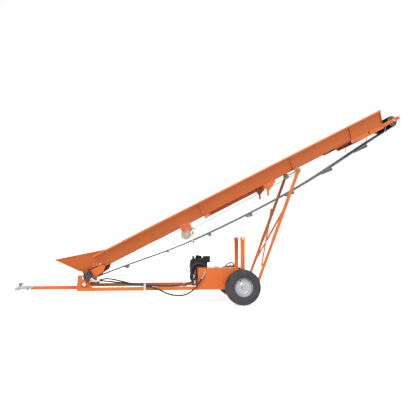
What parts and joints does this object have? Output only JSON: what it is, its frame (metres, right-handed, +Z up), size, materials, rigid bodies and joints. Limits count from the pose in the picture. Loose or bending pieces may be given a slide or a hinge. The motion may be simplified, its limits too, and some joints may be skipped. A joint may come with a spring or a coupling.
{
  "type": "belt conveyor",
  "caption": "Towable inclined belt conveyor: flared trough with cleated belt and tail hopper, lifted by winch-drawn roller legs on a two-wheel trailer with a hydraulic power pack.",
  "frame": {"origin": "on the ground, under the middle of the whole object", "axes": "+X from the towing coupler towards the discharge head, +Y to the right side of the towed machine, +Z up"},
  "size_m": [6.0462, 1.2, 3.0135],
  "materials": {
    "orange_paint": "glossy",
    "galvanised": "matte",
    "zinc": "satin",
    "cast_black": "satin",
    "engine_metal": "satin",
    "control_metal": "satin",
    "black_plastic": "satin",
    "red_plastic": "satin",
    "chrome": "polished",
    "steel": "satin",
    "rubber": "matte",
    "tyre": "matte",
    "rim_paint": "satin",
    "cleat_paint": "satin",
    "wire_rope": "satin",
    "white_strap": "matte",
    "winch_paint": "satin"
  },
  "bodies": {
    "trailer_frame": {"frame_tubes": "orange_paint", "pivot_plates": "orange_paint", "posts": "orange_paint", "hydraulic_tank": "orange_paint", "engine_plate": "orange_paint", "coupler_body": "galvanised", "frame_bolts": "zinc", "tank_ports": "zinc", "pivot_bearings": "cast_black", "hydraulic_pump": "cast_black", "engine_muffler": "cast_black", "engine_crankcase": "engine_metal", "control_valve": "control_metal", "engine_shroud": "black_plastic", "engine_air_cleaner": "black_plastic", "engine_fuel_tank": "black_plastic", "stub_axles": "steel", "hose_pressure": "rubber", "hose_return": "rubber", "hose_tank": "rubber", "hose_strap": "white_strap"},
    "conveyor": {"trough_sides_left": "orange_paint", "trough_sides_right": "orange_paint", "floor_pans": "orange_paint", "trough_ribs": "orange_paint", "conveyor_bolts": "zinc", "hopper_sides": "orange_paint", "hopper_front": "orange_paint", "hopper_flap": "rubber", "tail_plates": "orange_paint", "tail_bearings": "cast_black", "hydraulic_motor": "cast_black", "head_bars": "orange_paint", "belt_top_run": "rubber", "belt_return_run": "rubber", "cleats_top": "cleat_paint", "cleats_return": "cleat_paint", "winch_frame": "winch_paint", "winch_cable": "wire_rope", "saddle_brackets": "orange_paint"},
    "lift_legs": {"legs": "orange_paint", "cross_braces": "orange_paint"},
    "support_rollers": {"support_rollers": "zinc"},
    "drive_roller": {"drive_roller": "steel"},
    "head_roller": {"head_roller": "zinc"},
    "winch_drum": {"winch_drum": "zinc"},
    "winch_crank": {"winch_crank": "zinc"},
    "winch_pawl": {"winch_pawl": "zinc"},
    "cable_hook": {"cable_hook": "zinc"},
    "seam_pulley": {"seam_pulley": "zinc"},
    "wheel_left": {"tyre_left": "tyre", "rim_left": "rim_paint"},
    "wheel_right": {"tyre_right": "tyre", "rim_right": "rim_paint"},
    "coupler_latch": {"coupler_latch": "galvanised"},
    "filler_cap": {"filler_cap": "chrome"},
    "fuel_cap": {"fuel_cap": "black_plastic"},
    "recoil_handle": {"recoil_handle": "black_plastic"},
    "choke_lever": {"choke_lever": "red_plastic"},
    "valve_lever": {"valve_lever": "red_plastic"}
  },
  "joints": [
    {"name": "conveyor_lift", "type": "hinge", "parent": "trailer_frame", "child": "conveyor", "pos_m": [-1.9391, 0, 0.309], "axis": [0, -1, 0], "range_deg": [-11, 3], "deforming": ["belt_return_run", "cleats_return", "hose_pressure", "hose_return"]},
    {"name": "leg_swing", "type": "hinge", "parent": "trailer_frame", "child": "lift_legs", "pos_m": [0.5879, 0, 0.235], "axis": [0, -1, 0], "range_deg": [-27.5, 7.6]},
    {"name": "cable_hook_travel", "type": "slide", "parent": "conveyor", "child": "cable_hook", "axis": [0.8878, 0, 0.4602], "range_m": [-0.15, 0.52], "deforming": ["winch_cable"]},
    {"name": "roller_spin", "type": "hinge", "parent": "lift_legs", "child": "support_rollers", "pos_m": [1.27928, 0, 2.03799], "axis": [0, -1, 0], "continuous": true},
    {"name": "drive_roller_spin", "type": "hinge", "parent": "conveyor", "child": "drive_roller", "pos_m": [-1.8881, 0, 0.43], "axis": [0, -1, 0], "continuous": true},
    {"name": "head_roller_spin", "type": "hinge", "parent": "conveyor", "child": "head_roller", "pos_m": [2.90377, 0, 2.89134], "axis": [0, -1, 0], "continuous": true},
    {"name": "winch_crank_turn", "type": "hinge", "parent": "conveyor", "child": "winch_crank", "pos_m": [-0.39241, -0.3, 1.07125], "axis": [0, -1, 0], "continuous": true},
    {"name": "winch_drum_turn", "type": "hinge", "parent": "conveyor", "child": "winch_drum", "pos_m": [-0.47051, -0.27, 1.02852], "axis": [0, -1, 0], "continuous": true},
    {"name": "winch_pawl_tilt", "type": "hinge", "parent": "conveyor", "child": "winch_pawl", "pos_m": [-0.38481, -0.332, 1.13264], "axis": [0, -1, 0], "range_deg": [0, 35]},
    {"name": "seam_pulley_spin", "type": "hinge", "parent": "conveyor", "child": "seam_pulley", "pos_m": [-0.16009, -0.283, 1.30319], "axis": [0, -1, 0], "continuous": true},
    {"name": "wheel_left_spin", "type": "hinge", "parent": "trailer_frame", "child": "wheel_left", "pos_m": [0.3569, -0.5, 0.26], "axis": [0, -1, 0], "continuous": true},
    {"name": "wheel_right_spin", "type": "hinge", "parent": "trailer_frame", "child": "wheel_right", "pos_m": [0.3569, 0.5, 0.26], "axis": [0, -1, 0], "continuous": true},
    {"name": "coupler_latch_lift", "type": "hinge", "parent": "trailer_frame", "child": "coupler_latch", "pos_m": [-2.9571, 0, 0.274], "axis": [0, -1, 0], "range_deg": [0, 55]},
    {"name": "filler_cap_turn", "type": "hinge", "parent": "trailer_frame", "child": "filler_cap", "pos_m": [0.0029, -0.215, 0.54], "axis": [0, 0, 1], "range_deg": [0, 90]},
    {"name": "fuel_cap_turn", "type": "hinge", "parent": "trailer_frame", "child": "fuel_cap", "pos_m": [-0.2631, 0.15, 0.7], "axis": [0, 0, 1], "range_deg": [0, 90]},
    {"name": "recoil_pull", "type": "slide", "parent": "trailer_frame", "child": "recoil_handle", "axis": [0, -1, 0], "range_m": [0, 0.3], "stiffness_N_per_m": 40},
    {"name": "choke_tilt", "type": "hinge", "parent": "trailer_frame", "child": "choke_lever", "pos_m": [-0.3981, 0, 0.44], "axis": [0, -1, 0], "range_deg": [-20, 20]},
    {"name": "valve_tilt", "type": "hinge", "parent": "trailer_frame", "child": "valve_lever", "pos_m": [-0.3251, -0.19, 0.441], "axis": [0, 1, 0], "range_deg": [-15, 15]}
  ],
  "couplings": [
    {"joint": "leg_swing", "follows": "conveyor_lift", "ratio": 2.48},
    {"joint": "cable_hook_travel", "follows": "conveyor_lift", "m_per_rad": -2.66},
    {"joint": "head_roller_spin", "follows": "drive_roller_spin", "ratio": 0.74026},
    {"joint": "winch_crank_turn", "follows": "winch_drum_turn", "ratio": -4.926}
  ]
}
